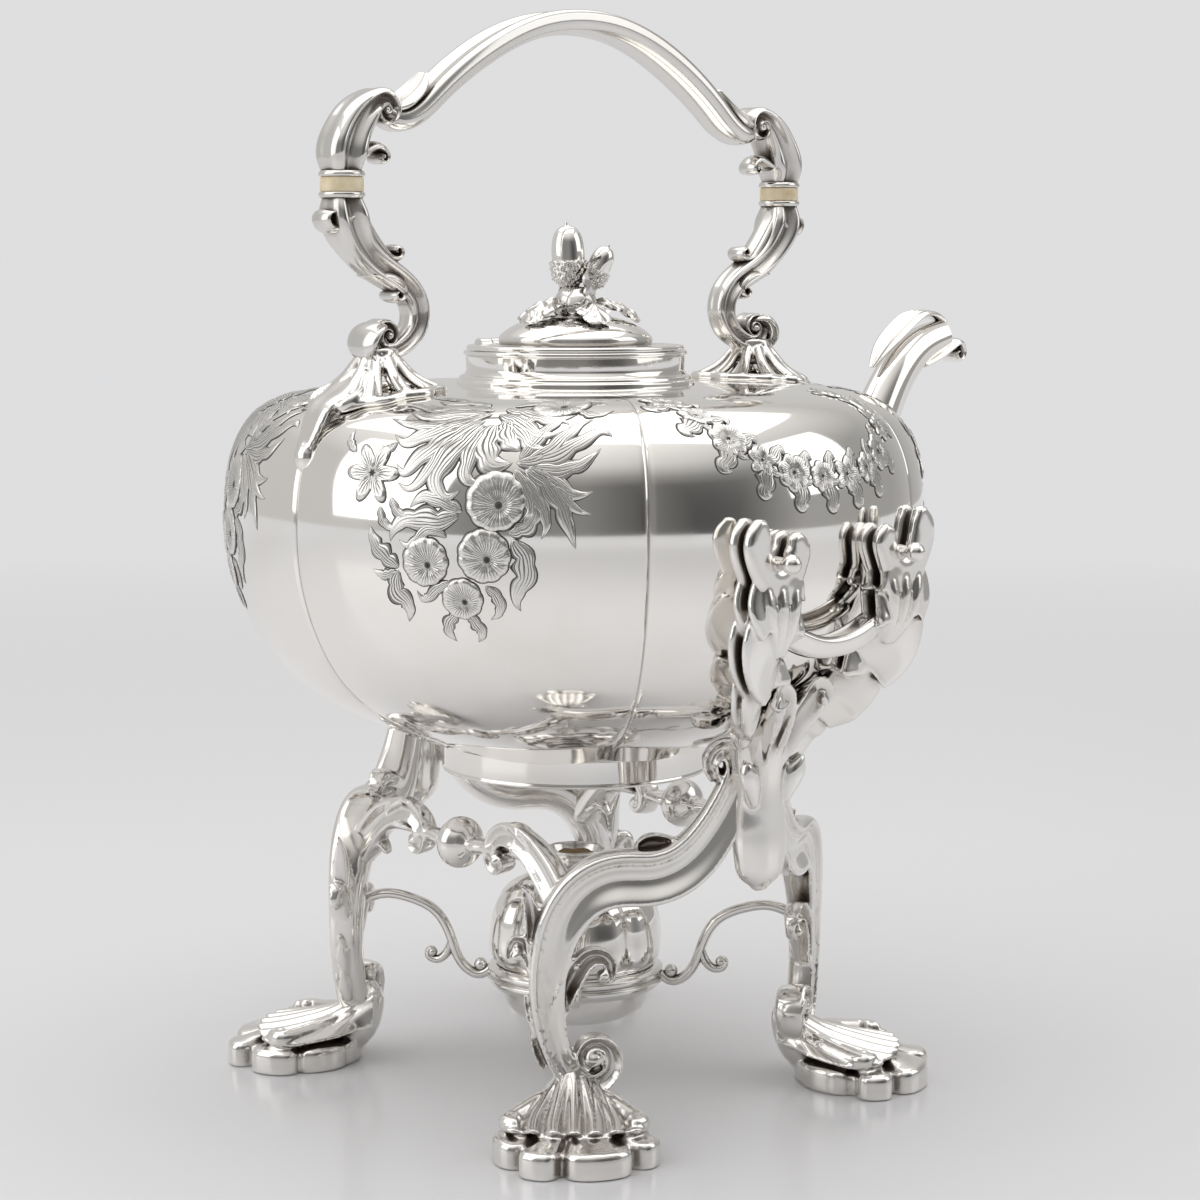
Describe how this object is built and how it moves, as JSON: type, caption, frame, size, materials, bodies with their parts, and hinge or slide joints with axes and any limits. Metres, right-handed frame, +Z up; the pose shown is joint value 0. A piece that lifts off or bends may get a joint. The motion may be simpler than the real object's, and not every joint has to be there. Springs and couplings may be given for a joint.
{
  "type": "tea kettle on stand",
  "caption": "Panelled silver tea kettle with hinged lid, spout and arched scroll handle, which tips in the forks of a scroll-legged stand over a spirit burner.",
  "frame": {"origin": "on the table, under the kettle's upright axis, midway between the four feet", "axes": "+X towards the spout, +Y across the handle's plane towards the lid hinge, +Z up"},
  "size_m": [0.3251, 0.2766, 0.3761],
  "materials": {
    "silver": "polished silver, darker in the recesses",
    "insulator": "ivory-coloured, satin",
    "wick": "browned cotton"
  },
  "bodies": {
    "stand": {"apron_knop_front": "silver", "apron_knop_rear": "silver", "apron_scroll_front_left": "silver", "apron_scroll_front_right": "silver", "apron_scroll_rear_left": "silver", "apron_scroll_rear_right": "silver", "bracket_crossbar_left": "silver", "bracket_crossbar_right": "silver", "bracket_stem_left": "silver", "bracket_stem_right": "silver", "burner_arm_front_left": "silver", "burner_arm_front_right": "silver", "burner_arm_rear_left": "silver", "burner_arm_rear_right": "silver", "burner_carrier": "silver", "foot_front_left": "silver", "foot_front_right": "silver", "foot_rear_left": "silver", "foot_rear_right": "silver", "fork_arm_front_left": "silver", "fork_arm_front_right": "silver", "fork_arm_rear_left": "silver", "fork_arm_rear_right": "silver", "leg_front_left": "silver", "leg_front_right": "silver", "leg_rear_left": "silver", "leg_rear_right": "silver"},
    "kettle": {"handle_base_front": "silver", "handle_base_rear": "silver", "handle_grip": "silver", "handle_scroll_front": "silver", "handle_scroll_rear": "silver", "hinge_knuckles_collar": "silver", "hinge_pin": "silver", "insulator_dowels": "silver", "insulator_front": "insulator", "insulator_rear": "insulator", "kettle_body": "silver", "kettle_foot_ring": "silver", "neck_collar": "silver", "pivot_pins_front": "silver", "pivot_pins_rear": "silver", "spout": "silver", "spout_leaf": "silver", "spout_lip": "silver"},
    "lid": {"lid_dome": "silver", "lid_bezel": "silver", "hinge_knuckle_lid": "silver", "finial_nut": "silver", "finial_leaves": "silver", "acorn_cups": "silver", "acorns": "silver"},
    "burner": {"burner_bowl": "silver", "burner_bulb": "silver"},
    "wick_holder": {"wick_tube": "silver", "wick": "wick"}
  },
  "joints": [
    {"name": "kettle_tilt", "type": "hinge", "parent": "stand", "child": "kettle", "pos_m": [0.0285, 0, 0.1945], "axis": [0, 1, 0], "range_deg": [0, 40]},
    {"name": "lid_hinge", "type": "hinge", "parent": "kettle", "child": "lid", "pos_m": [0, 0.0422, 0.2584], "axis": [-1, 0, 0], "range_deg": [0, 95]},
    {"name": "burner_lift", "type": "slide", "parent": "stand", "child": "burner", "axis": [0, 0, 1], "range_m": [0, 0.018]},
    {"name": "wick_lift", "type": "slide", "parent": "burner", "child": "wick_holder", "axis": [0, 0, 1], "range_m": [0, 0.006]}
  ]
}
